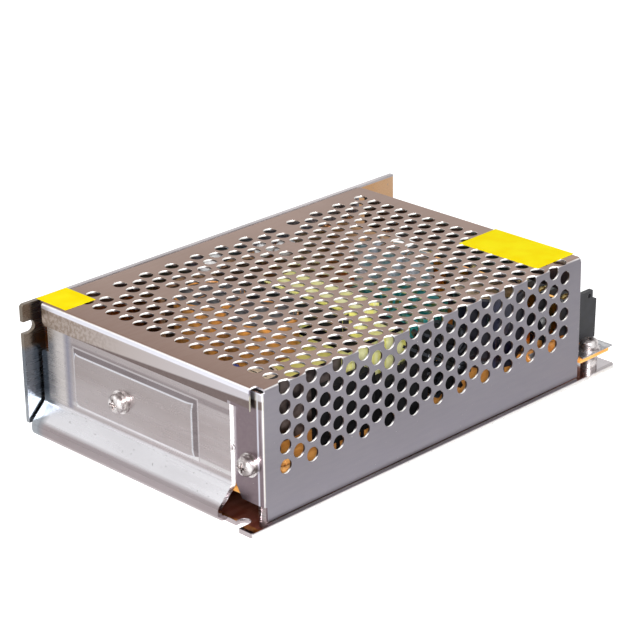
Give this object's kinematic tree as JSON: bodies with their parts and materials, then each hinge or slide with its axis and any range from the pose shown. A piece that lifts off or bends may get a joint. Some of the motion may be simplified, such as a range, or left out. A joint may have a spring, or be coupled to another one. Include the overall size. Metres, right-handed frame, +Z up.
{
  "type": "mesh case switching power supply",
  "caption": "Enclosed switching power supply: folded aluminium chassis, perforated cover, circuit board with its parts and a screw terminal block at one end.",
  "frame": {"origin": "centre of the base's footprint, on its underside", "axes": "+X along the length towards the terminal block, +Y across towards the solid wall, +Z up out of the base"},
  "size_m": [0.159, 0.098, 0.0421],
  "materials": {
    "sheet_aluminium": "fine horizontal brushed grain",
    "cover_steel": "plated, satin",
    "phenolic_board": "phenolic laminate with a cut orange edge",
    "tinned_plate": "tinned, dull",
    "nickel": "bright nickel plate",
    "yellow_label": "plain yellow film",
    "ferrite": "sintered ferrite",
    "black_plastic": "moulded",
    "yellow_tape": "polyester tape",
    "black_sleeve": "shrunk sleeve",
    "navy_sleeve": "shrunk sleeve",
    "teal_coating": "powder coated ring",
    "enamelled_wire": "enamelled copper",
    "yellow_plastic": "moulded box",
    "blue_lacquer": "dipped",
    "cyan_lacquer": "dipped",
    "green_lacquer": "dipped",
    "white_ceramic": "glazed tube with plated caps",
    "black_epoxy": "moulded package with tinned legs",
    "white_pad": "silicone pad",
    "resistor_blue": "lacquered body with tinned wires",
    "led_green": "clear moulded lens",
    "blue_plastic": "moulded",
    "white_plastic": "moulded",
    "brass": "stamped brass",
    "yellow_nickel": "yellow passivated zinc plate"
  },
  "bodies": {
    "case": {"chassis": "sheet_aluminium", "cover": "cover_steel", "circuit_board": "phenolic_board", "ground_plate": "tinned_plate", "board_standoffs": "nickel", "board_screws": "nickel", "case_screws": "nickel", "spring_washers": "nickel", "flat_washers": "nickel", "wall_screws": "nickel", "labels": "yellow_label", "transformer_core": "ferrite", "transformer_bobbin": "black_plastic", "transformer_winding": "yellow_tape", "core_tape": "yellow_tape", "bulk_capacitor_1": "black_sleeve", "bulk_capacitor_2": "black_sleeve", "line_capacitor": "navy_sleeve", "output_capacitors": "black_sleeve", "aux_capacitor": "black_sleeve", "output_choke_core": "teal_coating", "output_choke_winding": "enamelled_wire", "line_choke_core": "teal_coating", "line_choke_winding": "enamelled_wire", "x_capacitor": "yellow_plastic", "y_capacitors": "blue_lacquer", "varistor": "cyan_lacquer", "thermistor": "green_lacquer", "fuse": "white_ceramic", "fuse_clips": "tinned_plate", "bridge_rectifier": "black_epoxy", "switching_transistors": "black_epoxy", "output_rectifier": "black_epoxy", "insulating_pads": "white_pad", "clamp_bar": "tinned_plate", "clamp_screws": "nickel", "control_ic": "black_epoxy", "driver_transformer": "ferrite", "resistors": "resistor_blue", "led": "led_green", "trimmer_body": "blue_plastic", "terminal_block": "black_plastic", "terminal_contacts": "brass"},
    "trimmer": {"trimmer_rotor": "white_plastic"},
    "clamp_1": {"clamp_plate_1": "tinned_plate"},
    "screw_1": {"terminal_screw_1": "yellow_nickel"},
    "clamp_2": {"clamp_plate_2": "tinned_plate"},
    "screw_2": {"terminal_screw_2": "yellow_nickel"},
    "clamp_3": {"clamp_plate_3": "tinned_plate"},
    "screw_3": {"terminal_screw_3": "yellow_nickel"},
    "clamp_4": {"clamp_plate_4": "tinned_plate"},
    "screw_4": {"terminal_screw_4": "yellow_nickel"},
    "clamp_5": {"clamp_plate_5": "tinned_plate"},
    "screw_5": {"terminal_screw_5": "yellow_nickel"},
    "clamp_6": {"clamp_plate_6": "tinned_plate"},
    "screw_6": {"terminal_screw_6": "yellow_nickel"},
    "clamp_7": {"clamp_plate_7": "tinned_plate"},
    "screw_7": {"terminal_screw_7": "yellow_nickel"}
  },
  "joints": [
    {"name": "trimmer_turn", "type": "hinge", "parent": "case", "child": "trimmer", "pos_m": [0.073, 0.0314, 0.0115], "axis": [0, 0, 1], "range_deg": [-130, 130]},
    {"name": "clamp_lift_1", "type": "slide", "parent": "case", "child": "clamp_1", "axis": [0, 0, 1], "range_m": [0, 0.003]},
    {"name": "screw_turn_1", "type": "hinge", "parent": "clamp_1", "child": "screw_1", "pos_m": [0.0725, -0.03545, 0.02052], "axis": [0, 0, 1], "range_deg": [0, 1800]},
    {"name": "clamp_lift_2", "type": "slide", "parent": "case", "child": "clamp_2", "axis": [0, 0, 1], "range_m": [0, 0.003]},
    {"name": "screw_turn_2", "type": "hinge", "parent": "clamp_2", "child": "screw_2", "pos_m": [0.0725, -0.02595, 0.02052], "axis": [0, 0, 1], "range_deg": [0, 1800]},
    {"name": "clamp_lift_3", "type": "slide", "parent": "case", "child": "clamp_3", "axis": [0, 0, 1], "range_m": [0, 0.003]},
    {"name": "screw_turn_3", "type": "hinge", "parent": "clamp_3", "child": "screw_3", "pos_m": [0.0725, -0.01645, 0.02052], "axis": [0, 0, 1], "range_deg": [0, 1800]},
    {"name": "clamp_lift_4", "type": "slide", "parent": "case", "child": "clamp_4", "axis": [0, 0, 1], "range_m": [0, 0.003]},
    {"name": "screw_turn_4", "type": "hinge", "parent": "clamp_4", "child": "screw_4", "pos_m": [0.0725, -0.00695, 0.02052], "axis": [0, 0, 1], "range_deg": [0, 1800]},
    {"name": "clamp_lift_5", "type": "slide", "parent": "case", "child": "clamp_5", "axis": [0, 0, 1], "range_m": [0, 0.003]},
    {"name": "screw_turn_5", "type": "hinge", "parent": "clamp_5", "child": "screw_5", "pos_m": [0.0725, 0.00255, 0.02052], "axis": [0, 0, 1], "range_deg": [0, 1800]},
    {"name": "clamp_lift_6", "type": "slide", "parent": "case", "child": "clamp_6", "axis": [0, 0, 1], "range_m": [0, 0.003]},
    {"name": "screw_turn_6", "type": "hinge", "parent": "clamp_6", "child": "screw_6", "pos_m": [0.0725, 0.01205, 0.02052], "axis": [0, 0, 1], "range_deg": [0, 1800]},
    {"name": "clamp_lift_7", "type": "slide", "parent": "case", "child": "clamp_7", "axis": [0, 0, 1], "range_m": [0, 0.003]},
    {"name": "screw_turn_7", "type": "hinge", "parent": "clamp_7", "child": "screw_7", "pos_m": [0.0725, 0.02155, 0.02052], "axis": [0, 0, 1], "range_deg": [0, 1800]}
  ],
  "couplings": [
    {"joint": "screw_turn_1", "follows": "clamp_lift_1", "rad_per_m": 10472},
    {"joint": "screw_turn_2", "follows": "clamp_lift_2", "rad_per_m": 10472},
    {"joint": "screw_turn_3", "follows": "clamp_lift_3", "rad_per_m": 10472},
    {"joint": "screw_turn_4", "follows": "clamp_lift_4", "rad_per_m": 10472},
    {"joint": "screw_turn_5", "follows": "clamp_lift_5", "rad_per_m": 10472},
    {"joint": "screw_turn_6", "follows": "clamp_lift_6", "rad_per_m": 10472},
    {"joint": "screw_turn_7", "follows": "clamp_lift_7", "rad_per_m": 10472}
  ]
}
